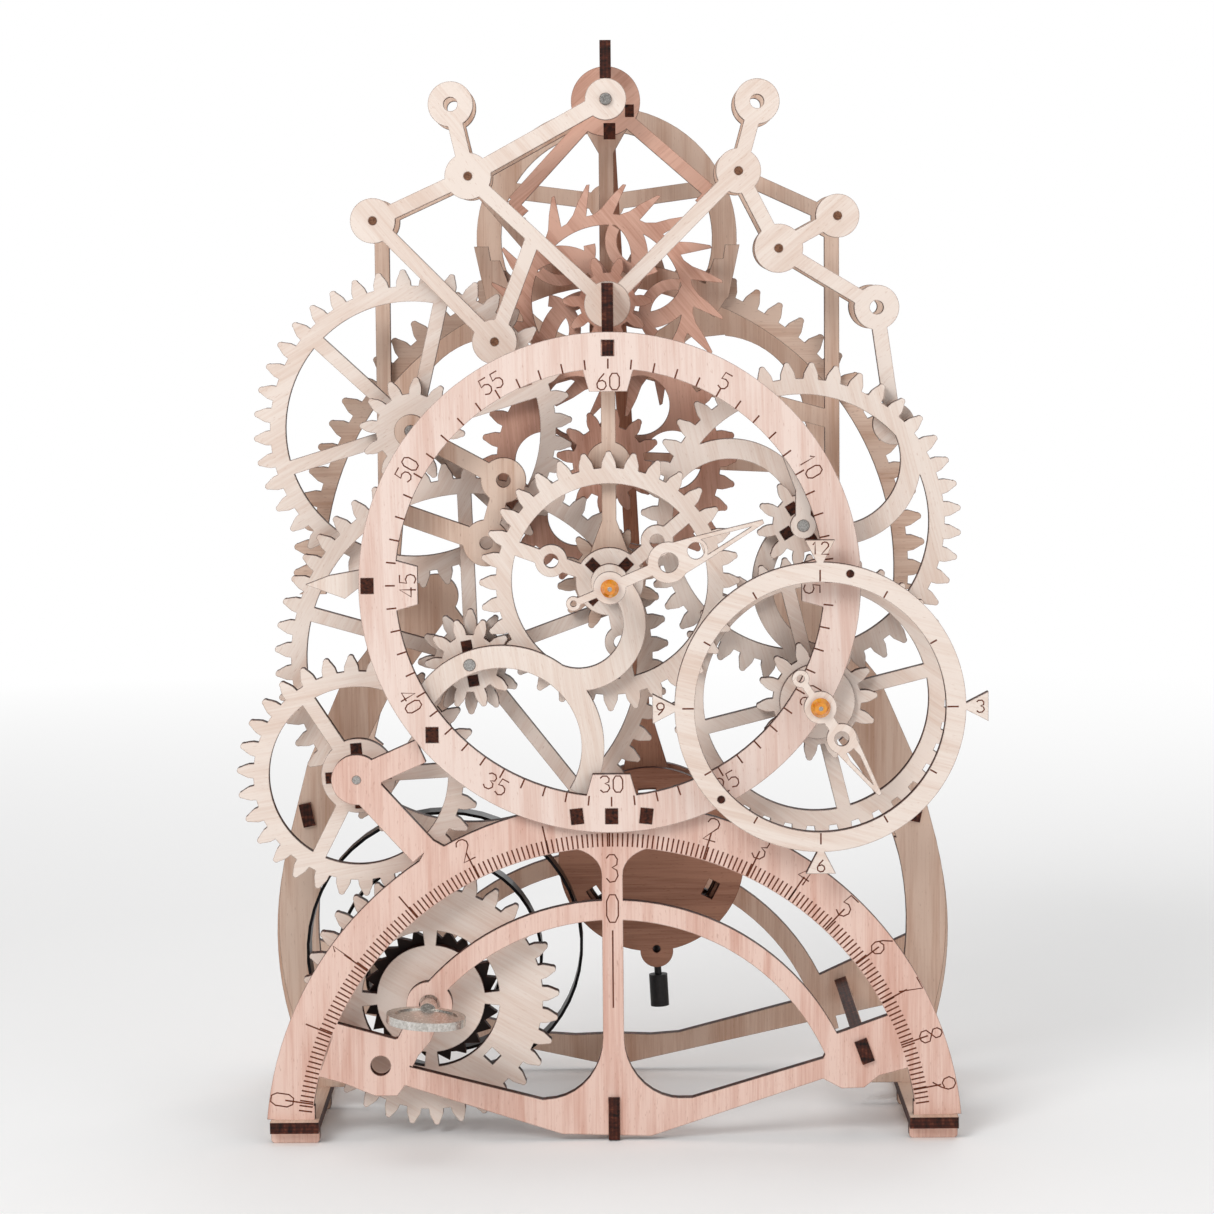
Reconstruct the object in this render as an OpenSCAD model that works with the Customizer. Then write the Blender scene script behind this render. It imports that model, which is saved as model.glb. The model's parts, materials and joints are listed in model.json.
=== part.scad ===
// Plywood pendulum clock kit: laser-cut 3 mm frames, module gears, escapement,
// pendulum, minute dial in the middle and a small hour dial at the right.
// X right, Y to the back, Z up; the origin is on the table under the middle.

/* [Plywood] */
// Thickness of every cut sheet, mm
ply_t = 3; // [2.8:0.1:3.2]
// Gap left between two sheets that turn against each other, mm
ply_gap = 1; // [0.8:0.1:1.2]

/* [Gears] */
// Gear module, mm of pitch diameter for each tooth
gear_m = 2.05; // [1.95:0.05:2.15]
// Width of a wheel's rim under its teeth, mm
rim_w = 4.2; // [3.6:0.2:5]
// Width of a straight spoke, mm
spoke_w = 3.8; // [3:0.2:5]

/* [Frame] */
// Outer radius of the minute dial ring, mm
dial_r = 66.2; // [65:0.2:67]
// Width of the minute dial ring, mm
dial_w = 9.6; // [9:0.2:10.4]
// Outer radius of the graduated front arch, mm
arch_r = 93.4; // [92:0.2:95]
// Width of the graduated front arch, mm
arch_w = 12; // [11:0.5:13]
// Length of the pendulum from its arbor to the middle of the bob, mm
pendulum_l = 210; // [204:1:214]
// Steel arbor diameter, mm
arbor_d = 3; // [2.6:0.1:3.2]
// Running clearance between an arbor and its bore, mm on the radius
run_c = 0.08; // [0.05:0.01:0.1]

/* [Hidden] */
wood = [0.90, 0.80, 0.72];
wood_dark = [0.80, 0.66, 0.57];
steel = [0.75, 0.76, 0.78];
step = ply_t + ply_gap;
arbor_r = arbor_d / 2;
bore_r = arbor_r + run_c;

// Front face of each layer of sheets, front to back
y_dial = -36;
y_plate = y_dial + ply_t;
y_minute = y_plate + step;
y_second = y_minute + step;
y_motion = y_second + step;
y_third = y_motion + step;
y_fourth = y_third + step;
y_fifth = y_fourth + step;
y_escape = y_fifth + step;
y_middle = y_escape + step + 6;
y_back = y_dial + 86;
y_ring = y_dial - 5 - ply_t;
y_hand = y_ring - 4.5;
y_swing = y_middle + 17;

// Tooth counts
z_barrel = 32;
z_second = 30;
z_third_a = 12;
z_third_b = 10;
z_minute = 32;
z_cannon = 12;
z_motion = 40;
z_motion_b = 10;
z_hour = 36;
z_third_c = 50;
z_fourth_a = 12;
z_fourth = 40;
z_fifth_a = 12;
z_fifth = 32;
z_escape_a = 10;
z_escape = 20;

function mesh(za, zb) = (za + zb) / 2 * gear_m;
function meet(a, ra, b, rb, side) =
    let (d = norm(b - a), u = (b - a) / d, k = (ra * ra - rb * rb + d * d) / (2 * d),
         h = sqrt(ra * ra - k * k))
    a + u * k + [-u[1], u[0]] * h * side;
function polar(r, a) = [r * cos(a), r * sin(a)];
function heading(a, b) = atan2(b[1] - a[1], b[0] - a[0]);

// Arbor places in the front view, each a mesh distance from the one before
at_minute = [0, 150];
at_third = at_minute + polar(mesh(z_minute, z_third_b), 210);
at_second = at_third + polar(mesh(z_second, z_third_a), 225);
at_barrel = at_second + polar(mesh(z_barrel, z_second), 287);
at_fifth = [0, 181];
at_fourth = meet(at_third, mesh(z_third_c, z_fourth_a), at_fifth, mesh(z_fourth, z_fifth_a), 1);
at_escape = at_fifth + polar(mesh(z_fifth, z_escape_a), 90);
at_motion = at_minute + polar(mesh(z_cannon, z_motion), 16);
at_hour = at_motion + polar(mesh(z_motion_b, z_hour), 274.5);
at_anchor = [0, 277.5];
arch_at = [0, -2];

// ---- helpers ----
// Stands a flat outline up as a sheet whose front face is at y
module sheet(y, t = ply_t) translate([0, y + t, 0]) rotate([90, 0, 0]) linear_extrude(t) children();
// Polygon drawn counter-clockwise whichever way its points run
function turning(p, i = 0) = i == len(p) ? 0 : cross(p[i], p[(i + 1) % len(p)]) + turning(p, i + 1);
module outline(p) polygon(turning(p) > 0 ? p : [for (i = [len(p) - 1 : -1 : 0]) p[i]]);
module dot(p, r, fn = 40) translate(p) circle(r, $fn = fn);
module bar(a, b, w) translate(a) rotate(heading(a, b)) translate([0, -w / 2]) square([norm(b - a), w]);
module band(p, r, w, a0, a1, fn = 120) translate(p) rotate(a0) intersection() {
    difference() { circle(r, $fn = fn); circle(r - w, $fn = fn); }
    sector(r * 1.5, a1 - a0);
}
module sector(r, a) polygon([[0, 0], for (k = [0 : 6]) polar(r, a * k / 6)]);
module ring(p, r, w, fn = 72) translate(p) difference() { circle(r, $fn = fn); circle(r - w, $fn = fn); }
module spin(p, r, y0, y1, fn = 24) translate([p[0], y1, p[1]]) rotate([90, 0, 0]) cylinder(r = r, h = y1 - y0, $fn = fn);

// Gear outline: straight-flanked rounded teeth with the first tooth at angle a
tooth_top = 0.9;
tooth_foot = 1.25;
press_a = 27;
function inv(a) = tan(a) * 180 / PI - a;
function half_at(z, r) =
    let (rp = z * gear_m / 2, rb = rp * cos(press_a), q = r > rb ? acos(rb / r) : 0)
    90 / z * 0.86 + inv(press_a) - inv(q);
module gear2d(z, a) {
    rp = z * gear_m / 2;
    rf = rp - tooth_foot * gear_m;
    ra = rp + tooth_top * gear_m;
    rs = [rf, rp - 0.55 * gear_m, rp, rp + 0.48 * gear_m];
    foot = min(half_at(z, rp - 0.8 * gear_m) + 10 / z, 120 / z);
    hs = [foot, half_at(z, rs[1]), half_at(z, rp), half_at(z, rs[3])];
    polygon([for (k = [0 : z - 1]) let (c = a + k * 360 / z) each [
        for (j = [0 : 3]) polar(rs[j], c - hs[j]),
        for (t = [30 : 30 : 150]) polar(rs[3] + (ra - rs[3]) * sin(t), c - hs[3] * cos(t)),
        for (j = [3 : -1 : 0]) polar(rs[j], c + hs[j])]]);
}
// Tooth angle of a driven gear at q that meshes with a gear of za teeth at angle a at p
function phase(p, za, a, q, zb) = heading(q, p) + 180 / zb - (a - heading(p, q)) * za / zb;
// Open wheel: toothed rim, straight spokes and hub
module wheel2d(z, a, spokes, a0, hub) {
    r_in = z * gear_m / 2 - tooth_foot * gear_m - rim_w;
    difference() { gear2d(z, a); circle(r_in, $fn = 96); }
    for (k = [0 : spokes - 1]) rotate(a0 + k * 360 / spokes) translate([hub / 2, -spoke_w / 2]) square([r_in + 1 - hub / 2, spoke_w]);
    circle(hub, $fn = 48);
}
// Four windows cut in a cross through a hub
module cross_slots(r, w, l, a) for (k = [0 : 3]) rotate(a + 90 * k) translate([r, -w / 2]) square([l, w]);

a_minute = 90;
a_third_b = phase(at_minute, z_minute, a_minute, at_third, z_third_b);
a_third_a = 0;
a_second = phase(at_third, z_third_a, a_third_a, at_second, z_second);
a_barrel = phase(at_second, z_second, a_second, at_barrel, z_barrel);
a_third_c = 4;
a_fourth_a = phase(at_third, z_third_c, a_third_c, at_fourth, z_fourth_a);
a_fourth = 3;
a_fifth_a = phase(at_fourth, z_fourth, a_fourth, at_fifth, z_fifth_a);
a_fifth = 0;
a_escape_a = phase(at_fifth, z_fifth, a_fifth, at_escape, z_escape_a);
a_cannon = 8;
a_motion = phase(at_minute, z_cannon, a_cannon, at_motion, z_motion);
a_motion_b = 12;
a_hour = phase(at_motion, z_motion_b, a_motion_b, at_hour, z_hour);

// Clearance left between a pin and the sheet it is pressed through
pin_c = 0.03;
pin_r = 1.1;
dial_in = dial_r - dial_w;
arch_in = arch_r - arch_w;
ring_r = 38.2;
ring_w = 5.2;
rest_swing = 3;
swing = 3;

// Node places of the left and right groups of round link ends
n1 = [-41.2, 276.5];
n2 = [-36.8, 257.5];
n3 = [-62.3, 245.9];
n4 = [-30.2, 213.5];
n5 = [0, 223.2];
n6 = at_anchor;
fork = [-20.3, 238.2];
fork_front = [-19.5, 241.3];
r1 = [40.2, 276.6];
r2 = [35.2, 258.3];
r3 = [45.8, 237.7];
r4 = [61.5, 246.2];
r5 = [71.9, 221.8];
r6 = [76.4, 190.7];
pinned = [n2, n3, r2, r3, r4];
peg_spots = [[0, 212, 0], [-63.9, 150, 0], [-47.3, 110.3, 0], [-9.2, 88.2, 6], [0, 88.2, 0], [9.2, 88.2, -6]];
ring_pin_spots = [[62.8, 152.8], [28.8, 93.6]];
// Pillars between the plates: X, Z, turn, front end, back end
pillar_spots = [[67.1, 23.7, 20, y_plate - 1, y_back + ply_t + 1],
    [-84.2, 83, 12, y_middle - 1, y_back + ply_t + 1], [84.2, 83, -12, y_middle - 1, y_back + ply_t + 1]];
post_x = 61.3;
leg_at = [0, 52];
back_at = [0, 41];
horn_tip = [47.8, 143.4];

module pegs2d(spots, grow = 0) for (p = spots) translate([p[0], p[1]]) rotate(p[2]) square([3.4, 4.2] + [grow, grow], center = true);
module pillars2d() for (p = pillar_spots) translate([p[0], p[1]]) rotate(p[2]) square([3.4, 6.4], center = true);

// ---- fixed frame ----
// Foot end of a leg: narrows to the tongue that passes through the rail
foot_in = 79;
foot_w = 13;
toe_r = 1;
rail_z = 3.3;
rail_top = rail_z + ply_t;
module foot2d(s, w = 10.6) translate([s * (foot_in + foot_w / 2), 0]) {
    translate([-w / 2, 1]) square([w, 9]);
    // toe under the rail, as wide as the rail, with rounded corners
    translate([-foot_w / 2, toe_r]) square([foot_w, rail_z - toe_r]);
    translate([-foot_w / 2 + toe_r, 0]) square([foot_w - 2 * toe_r, 2]);
    for (k = [-1, 1]) dot([k * (foot_w / 2 - toe_r), toe_r], toe_r, 16);
}
// Quarter round that widens a post of half width x from height z, w sideways and h up or down
module flare(s, x, z, w, h) outline(concat([for (a = [0 : 10 : 90]) [s * (x + w * (1 - cos(a))), z + h * sin(a)]],
    [[s * (x + w), z + h * 1.1], [0, z + h * 1.1], [0, z]]));
module front_plate() color(wood) sheet(y_plate) difference() {
    union() {
        difference() {
            band(arch_at, arch_r, arch_w, 5.2, 174.8);
            for (s = [-1, 1]) translate([s * 86 - 15, -10]) square([30, 10 + rail_top]);
        }
        for (s = [-1, 1]) foot2d(s);
        band(arch_at, 67.1, 5.3, 22, 140);
        translate([-2.8, 8]) square([5.6, 76]);
        // lower tie bar, deep in the middle and lifted at both ends
        outline([[-56, 15.4], [-14, 1.8], [10, 1.1], [56, 16.3], [56, 21.8], [21, 11.4], [-19.2, 11.2], [-56, 20.8]]);
        // flares of the post over the tie bar and under the arch
        for (s = [-1, 1]) {
            flare(s, 2.8, 28, 15.4, -16.7);
            flare(s, 2.8, 72, 10, 7.4);
        }
        // left and right bosses
        outline([[-74, 32.4], [-58.4, 28], [-56.4, 28.6], [-52.6, 36], [-46, 34], [-49, 27.2], [-54.6, 20.8],
            [-56, 15.4], [-58, 12.6], [-64, 12.6], [-72, 16], [-79, 18]]);
        dot(at_barrel, 6.2);
        bar(at_barrel, [-57, 22], 7);
        outline([[59.2, 28.3], [78, 35], [80, 19.4], [71, 17], [67, 13.8], [61, 13.6], [56, 16.3], [56, 21.7]]);
        // bracket of the second wheel
        dot(at_second, 6.7);
        bar(at_second, [-50.5, 105.6], 6.5);
        bar(at_second, [-50, 78.4], 8);
        bar([-50, 78.4], [-44, 75], 8);
    }
    pegs2d([for (k = [3 : 5]) peg_spots[k]]);
    dot([-62.4, 20.8], 2.7);
    dot(at_second, pin_r + pin_c, 24);
    dot(at_barrel, key_hole_r, 32);
    pillars2d();
    translate([-1.5, -1]) square([3, 12.7]);
}
module tabs2d() for (a = [0 : 90 : 270]) rotate(a) outline([[dial_in + 1, -7], [dial_in - 6, -5], [dial_in - 6, 5], [dial_in + 1, 7]]);
module dial_ring() color(wood) sheet(y_dial) difference() {
    union() {
        ring(at_minute, dial_r, dial_w, 120);
        translate(at_minute) tabs2d();
    }
    pegs2d(peg_spots);
    dot(at_hour, bore_r, 24);
    for (p = ring_pin_spots) dot(p, 1 + pin_c, 24);
}
module dial_pegs() color(wood_dark) {
    sheet(y_dial, ply_t) pegs2d([peg_spots[1], peg_spots[2]]);
    sheet(y_dial, 2 * ply_t) pegs2d([for (k = [3 : 5]) peg_spots[k]]);
}
module hour_ring() color(wood) sheet(y_ring) {
    difference() {
        ring(at_hour, ring_r, ring_w, 120);
        for (p = ring_pin_spots) dot(p, 1 + pin_c, 24);
    }
    for (a = [0 : 90 : 270]) translate(at_hour) rotate(a) outline([[ring_r - 0.4, -0.7], [ring_r + 5.8, -3.9],
        [ring_r + 5.8, 3.9], [ring_r - 0.4, 0.7]]);
}
module ring_pins() color(wood_dark) for (p = ring_pin_spots) spin(p, 1, y_ring, y_plate);
// Scroll: two arcs of one width, from the dial ring to the middle arbor and back to the ring
scroll_w = 6;
module scroll_bridge() color(wood) sheet(y_plate) difference() {
    union() {
        band([-29, 106.4], 27.2, scroll_w, -32, 150, 96);
        band([-8.3, 139.1], 17.8, scroll_w, -112, 62, 72);
        dot(at_minute, 5);
    }
    dot(at_minute, bore_r, 24);
    dot(at_third, bore_r, 24);
}
module motion_bridge() color(wood) sheet(y_plate) difference() {
    union() {
        dot(at_motion, 3.4);
        bar(at_motion, [51.2, 176], 4);
        bar([51.2, 175], [46.5, 187.5], 4.4);
        dot([51.2, 175.4], 2.1);
        dot([46.5, 187.5], 3);
    }
    dot(at_motion, bore_r, 24);
}
module side_pointer() color(wood) sheet(y_plate) outline([[-80.4, 150.2], [-74, 152.6], [-60, 155],
    [-60, 145], [-66.6, 149], [-70, 146.4]]);
hanger_top = 209.9;
module inner_bridge() color(wood_dark) {
    sheet(y_second) difference() {
        union() {
            translate([-1.9, 150]) square([3.8, hanger_top - 150]);
            outline([[-1.9, 166], [-6.4, 154], [6.4, 154], [1.9, 166]]);
            dot(at_minute, 7);
            dot(at_fifth, 6);
            dot([-28, 176.9], 6);
            dot([-32.8, 160.2], 6.2);
            bar([-28, 176.9], [-32.8, 160.2], 4.6);
            bar([-28, 176.9], [-49.4, 188.6], 4.6);
            bar([-32.8, 160.2], [-58.6, 169.5], 5.3);
            dot(at_fourth, 4.4);
            bar(at_fourth, [-46, 186.7], 5);
        }
        dot([-28, 176.9], 1.9, 24);
        dot([-32.8, 160.2], 1.7, 24);
        for (p = [at_minute, at_fifth, at_fourth]) dot(p, bore_r, 24);
    }
    // distance blocks behind the dial ring
    sheet(y_plate, y_second - y_plate) for (p = [[-47.2, 187.5], [-57.2, 169]]) translate(p) rotate(45) square(4, center = true);
}
module star2d(ends, r, w) {
    for (e = ends) dot(e, r);
    for (k = [1 : len(ends) - 1]) bar(ends[k - 1], ends[k], w);
}
module left_links() {
    star2d([n1, n2, n3, n4], 6, 4);
    star2d([n2, n5], 6.2, 4);
    bar(n2, n6, 4.4);
    bar(fork_front, n4, 4);
    dot(n6, 5.5);
}
module right_links() {
    star2d([r1, r2, r3, r5], 6, 4);
    dot(r3, 6.5);
    star2d([r3, r4], 5.8, 4);
    bar(r2, n5, 4);
}
module open_ends() for (p = [n1, r1, r5]) dot(p, 1.85, 24);
module left_stars() color(wood) sheet(y_third) difference() {
    left_links();
    open_ends();
    for (p = pinned) dot(p, pin_r + pin_c, 24);
    dot(n4, pin_r + pin_c, 24);
    dot(n6, bore_r, 24);
    translate([-1.5, 216.5]) square([3, 12.4]);
}
module right_stars() color(wood) sheet(y_third) difference() {
    union() {
        right_links();
        bar(r5, r6, 4);
        dot(r6, 5.6);
    }
    open_ends();
    for (p = pinned) dot(p, pin_r + pin_c, 24);
    dot(n5, 6.2);
    bar(n5, n2, 4);
}
module star_spacers() color(wood_dark) {
    for (p = pinned) spin(p, pin_r, y_third - 0.2, y_middle + ply_t);
    spin(n4, pin_r, y_third - 0.2, y_third + ply_t);
}
module half_leg() {
    intersection() {
        band(leg_at, 92.6, 11, 140, 218);
        translate([-100, rail_top]) square([100, 69]);
    }
    outline([[-90, 74], [-79.3, 74], [-70.5, 97], [-61.8, 114.7], [-43.6, 139], [-52, 147.8], [-74.2, 119.6], [-84, 97]]);
    dot([-horn_tip[0], horn_tip[1]], 6.1);
}
// Flat arched beam behind the escape wheel, a horn standing up at each end
beam_at = [0, 174.2];
beam_r = 60.5;
module horned_beam() {
    band(beam_at, beam_r, 6.8, 57, 123, 96);
    for (s = [-1, 1]) outline([[s * 36.2, 239], [s * 32.3, 239], [s * 31.7, 235.2], [s * 29.2, 235.2],
        [s * 26.1, 226.6], [s * 29, 222], [s * 33.2, 224.6], [s * 34, 228.7]]);
}
module middle_frame() color(wood_dark) sheet(y_middle) difference() {
    union() {
        for (s = [0, 1]) mirror([s, 0]) {
            half_leg();
            foot2d(-1);
            translate([-post_x - 2, 118]) square([4, 128]);
        }
        star2d([n1, n2, n3], 6, 4);
        bar(n2, fork, 4);
        dot(fork, 2.6);
        star2d([r1, r2, r3, r5], 6, 4);
        star2d([r3, r4, r2], 5.8, 4);
        bar(n2, n6, 4.4);
        // middle rod with its flared head, and the arched cross beam
        dot(at_anchor, 9.3);
        outline([[-6.6, 272], [-2, 264], [-2, 150], [2, 150], [2, 264], [6.6, 272]]);
        horned_beam();
        for (s = [-1, 1]) bar([0, 208], [s * post_x, 191], 5);
        bar(fork, [-14, 230], 4);
        dot(at_escape, 5);
        dot(at_fifth, 5);
        dot(at_fourth, 5);
        bar(at_fourth, [-post_x, at_fourth[1]], 4);
        bar([0, at_fifth[1]], [post_x, 178], 4);
        dot(at_motion, 4.4);
        bar(at_motion, [post_x, at_motion[1]], 4);
        dot(at_hour, 4.4);
        bar(at_hour, [66, 119], 4.4);
        dot(at_third, 4.6);
        bar(at_third, [-horn_tip[0], horn_tip[1]], 5);
        dot(at_barrel, 5);
        bar(at_barrel, [-84, 42], 5.4);
    }
    open_ends();
    for (p = pinned) dot(p, pin_r + pin_c, 24);
    for (p = [at_anchor, at_escape, at_fifth, at_fourth, at_motion, at_hour, at_third, at_barrel]) dot(p, bore_r, 24);
    dot(spring_pin_at, pin_r + pin_c, 24);
    pillars2d();
}
// Half round of teeth behind the wheels, on the axis of the dial, of a coarser module than the wheels
z_crown = 76;
crown_m = 2.24;
crown_in = 78.5;
crown_below = 5;
module toothed_arch() color(wood_dark) sheet(y_middle + ply_t) difference() {
    translate(at_minute) intersection() {
        difference() {
            scale(crown_m / gear_m) gear2d(z_crown, 90);
            circle(crown_in, $fn = 160);
        }
        rotate(-crown_below) sector(1.5 * crown_in, 180 + 2 * crown_below);
    }
    translate(at_minute + [-1.5 * crown_in, -12]) square([3 * crown_in, 6]);
}
module back_plate() color(wood_dark) sheet(y_back) difference() {
    union() {
        ring([0, 241.5], 37.1, 7, 120);
        dot(at_anchor, 6);
        dot([0, 251.6], 5.2);
        for (s = [0, 1]) mirror([s, 0]) {
            bar([0, 251.6], [-33, 256], 4.6);
            band([-31, 188], 33, 7.4, 96, 180, 96);
            outline([[-26, 213], [-27, 224], [-36, 221.5], [-36, 214]]);
            outline([[-64, 190], [-56.6, 190], [-63, 120], [-70, 92], [-80, 97], [-70.4, 122]]);
            intersection() {
                band(back_at, 97.4, 11.4, 140, 206);
                translate([-100, rail_top]) square([100, 97]);
            }
            foot2d(-1);
            // lower ties, as on the front
            outline([[-80, 19], [0, 1.4], [0, 11], [-11, 10.6], [-19, 11.2], [-80, 27]]);
        }
        band(arch_at, 67.1, 5.3, 12, 168);
        for (s = [-1, 1]) bar([s * 62, 22], [s * 88, 34], 12);
    }
    dot(at_anchor, bore_r, 24);
    pillars2d();
    translate([-1.5, -1]) square([3, 12.7]);
    translate([-104, -1]) square([17, 4.3]);
}
module foot_rails() color(wood_dark) for (s = [-1, 1]) translate([s * (foot_in + foot_w / 2), 0, rail_z])
    linear_extrude(ply_t) difference() {
        translate([-foot_w / 2, y_dial - 0.5]) square([foot_w, y_back + 12 - y_dial]);
        for (y = [y_plate, y_middle, y_back]) translate([-5.3, y]) square([10.6, ply_t]);
    }
// Upright strips on the middle plane
module upright(y0, y1, z0, z1) translate([-1.5, y0, z0]) cube([3, y1 - y0, z1 - z0]);
module keel() color(wood_dark) upright(y_plate - 1, y_back + ply_t + 1, 0.3, 11.7);
module ridge_spine() color(wood_dark) {
    upright(y_third, y_back + ply_t, 286.9, 293);
    upright(y_third, y_third + ply_t, 283.1, 286.9);
    upright(y_back, y_back + ply_t, 283.6, 286.9);
}
module dial_strut() color(wood_dark) {
    upright(y_dial, y_plate, 209.9, 214.1);
    upright(y_plate, y_third, 209.9, 228.9);
    upright(y_third, y_third + ply_t, 216.5, 228.9);
}
module cross_pillars() color(wood_dark) for (p = pillar_spots)
    translate([0, p[3], 0]) translate([0, p[4] - p[3], 0]) rotate([90, 0, 0]) linear_extrude(p[4] - p[3])
        translate([p[0], p[1]]) rotate(p[2]) square([3.4, 6.4], center = true);

// ---- mainspring: a flat steel strip on edge, wound loosely ----
spring_turns = 4;
spring_n = 200;
spring_at = [-43, 49];
spring_t = 0.8;
spring_w = 8;
spring_y = y_fourth + 1;
function coil(t, d) = let (c = at_barrel + (spring_at - at_barrel) * t, r = 2.2 + 38 * t + d) c + polar(r, 200 + 360 * spring_turns * t);
module main_spring() color([0.12, 0.12, 0.13]) sheet(spring_y, spring_w)
    polygon([for (k = [0 : spring_n]) coil(k / spring_n, 0), for (k = [spring_n : -1 : 0]) coil(k / spring_n, spring_t)]);
// The pin in the left leg that the outer end bears on
spring_pin_at = coil(1, spring_t + pin_r);
module spring_pin() color(steel) spin(spring_pin_at, pin_r, spring_y, y_middle + ply_t);

// ---- wheel train ----
module barrel_wheel() color(wood_dark) sheet(y_second) difference() {
    translate(at_barrel) difference() {
        gear2d(z_barrel, a_barrel);
        for (k = [0 : 3]) band([0, 0], 18.6, 4, 6 + 90 * k, 84 + 90 * k, 72);
        rotate(-44) translate([22.8, 0]) square(3.4, center = true);
    }
    dot(at_barrel, bore_r, 24);
}
// Saw-toothed ratchet wheel on the winding arbor, seen through the windows of the barrel wheel
ratchet_n = 24;
ratchet_r = 18.4;
ratchet_root = 15.8;
module ratchet_wheel() color(wood_dark) sheet(y_motion) difference() {
    translate(at_barrel) polygon([for (k = [0 : ratchet_n - 1]) each [
        polar(ratchet_r, k * 360 / ratchet_n), polar(ratchet_root, (k + 0.25) * 360 / ratchet_n)]]);
    dot(at_barrel, arbor_r + pin_c, 24);
}
// The key slides on the front end of the arbor: a sleeve and a round wing in the arbor's plane
key_front = 18;
key_hole_r = 2.7;
key_wing_r = 10.4;
key_wing_t = 2.2;
key_sleeve_r = 2.3;
key_a = 4;
arbor_front = 6;
module winding_arbor() color(steel) spin(at_barrel, arbor_r, y_plate - arbor_front, y_middle + ply_t);
module winding_key() color(steel) difference() {
    union() {
        spin(at_barrel, key_sleeve_r, y_plate - 9, y_plate - 1, 32);
        translate([at_barrel[0], y_plate - key_front, at_barrel[1]]) rotate([0, key_a, 0]) difference() {
            translate([0, 0, -key_wing_t / 2]) cylinder(r = key_wing_r, h = key_wing_t, $fn = 64);
            for (s = [-1, 1]) translate([0, 0, s * key_wing_t / 2 - 0.4]) cylinder(r = key_wing_r - 2.2, h = 0.8, $fn = 64);
        }
    }
    spin(at_barrel, arbor_r + pin_c, y_plate - arbor_front - 0.1, y_plate);
}
module second_wheel() color(wood) sheet(y_second) difference() {
    translate(at_second) {
        wheel2d(z_second, a_second, 3, 3, 10);
    }
    translate(at_second) cross_slots(5.2, 3, 3.6, 4);
    dot(at_second, pin_r + run_c, 24);
}
module second_pin() color(steel) spin(at_second, pin_r, y_plate - 0.2, y_second + ply_t + 0.6);
module third_pinions() color(wood) {
    sheet(y_second) difference() { translate(at_third) gear2d(z_third_a, a_third_a); dot(at_third, arbor_r + pin_c, 24); }
    sheet(y_minute) difference() {
        translate(at_third) { difference() { gear2d(z_third_b, a_third_b); cross_slots(3.2, 2.8, 3, 10); } }
        dot(at_third, arbor_r + pin_c, 24);
    }
}
module third_wheel() color(wood) sheet(y_third) difference() {
    translate(at_third) wheel2d(z_third_c, a_third_c, 5, 20, 9);
    dot(at_third, arbor_r + pin_c, 24);
}
module third_arbor() color(steel) spin(at_third, arbor_r, y_plate - 0.2, y_middle + ply_t);
module minute_wheel() color(wood) {
    sheet(y_minute) difference() {
        translate(at_minute) {
            wheel2d(z_minute, a_minute, 3, 40, 9);
            for (a = [40, 160, 280]) rotate(a) dot([16.5, 0], 4.3, 32);
        }
        for (a = [40, 160, 280]) translate(at_minute) rotate(a) dot([16.5, 0], 1.9, 24);
        translate(at_minute) cross_slots(4.4, 2.8, 3.4, 45);
        dot(at_minute, arbor_r + pin_c, 24);
    }
}
module minute_hub() color(wood_dark) sheet(y_motion) difference() {
    translate(at_minute) gear2d(z_cannon, a_cannon);
    dot(at_minute, arbor_r + pin_c, 24);
}
module minute_arbor() color(steel) spin(at_minute, arbor_r, y_hand - 1.6, y_motion + ply_t);
hand_t = 1.5;
// Hands: hub, tail ring, eye and a forked point; a is the way the hand points
module hand2d(a, hub, tail_r, tail_l, eye_l, eye_r, hole_r, tip_l, fork_w) rotate(a) {
    difference() {
        union() {
            circle(hub, $fn = 40);
            dot([-tail_l, 0], tail_r, 24);
            bar([-tail_l, 0], [0, 0], 2);
            bar([0, 0], [eye_l, 0], 3);
            dot([eye_l, 0], eye_r, 40);
            for (s = [-1, 1]) outline([[eye_l, s * eye_r * 0.9], [eye_l + eye_r * 1.6, s * fork_w], [tip_l, s * 0.5],
                [tip_l, -s * 0.2], [tip_l - 2, -s * 0.2], [eye_l + eye_r * 1.6, s * (fork_w - 1.2)], [eye_l, s * 0.6]]);
        }
        dot([eye_l, 0], hole_r, 32);
        dot([-tail_l, 0], tail_r * 0.42, 20);
        circle(arbor_r + pin_c, $fn = 24);
    }
}
minute_hand_a = 23;
hour_hand_a = -56;
module minute_hand() color(wood) sheet(y_hand, hand_t) translate(at_minute) difference() {
    union() {
        hand2d(minute_hand_a, 4.3, 1.9, 10.3, 16.6, 5.4, 2.6, 43.5, 3.6);
        rotate(minute_hand_a) dot([24.4, 0], 3.2, 32);
    }
    rotate(minute_hand_a) dot([24.4, 0], 2.2, 32);
}
module hour_hand() color(wood) sheet(y_ring, hand_t) translate(at_hour) hand2d(hour_hand_a, 4.3, 2.3, 9.2, 10, 4, 1.9, 28, 2.6);
module bead(p, y, r) color([0.85, 0.5, 0.08]) translate([p[0], y, p[1]]) rotate([90, 0, 0]) cylinder(r1 = r, r2 = r * 0.6, h = 2, $fn = 32);
module minute_bead() bead(at_minute, y_hand - 1.6, 2.4);
module hour_bead() bead(at_hour, y_ring - 0.6, 2.6);
module swirl(n, a) for (k = [0 : n - 1]) rotate(a + 360 / n * k) band([-19, 0], 22.6, 5.4, -8, 152, 72);
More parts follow.
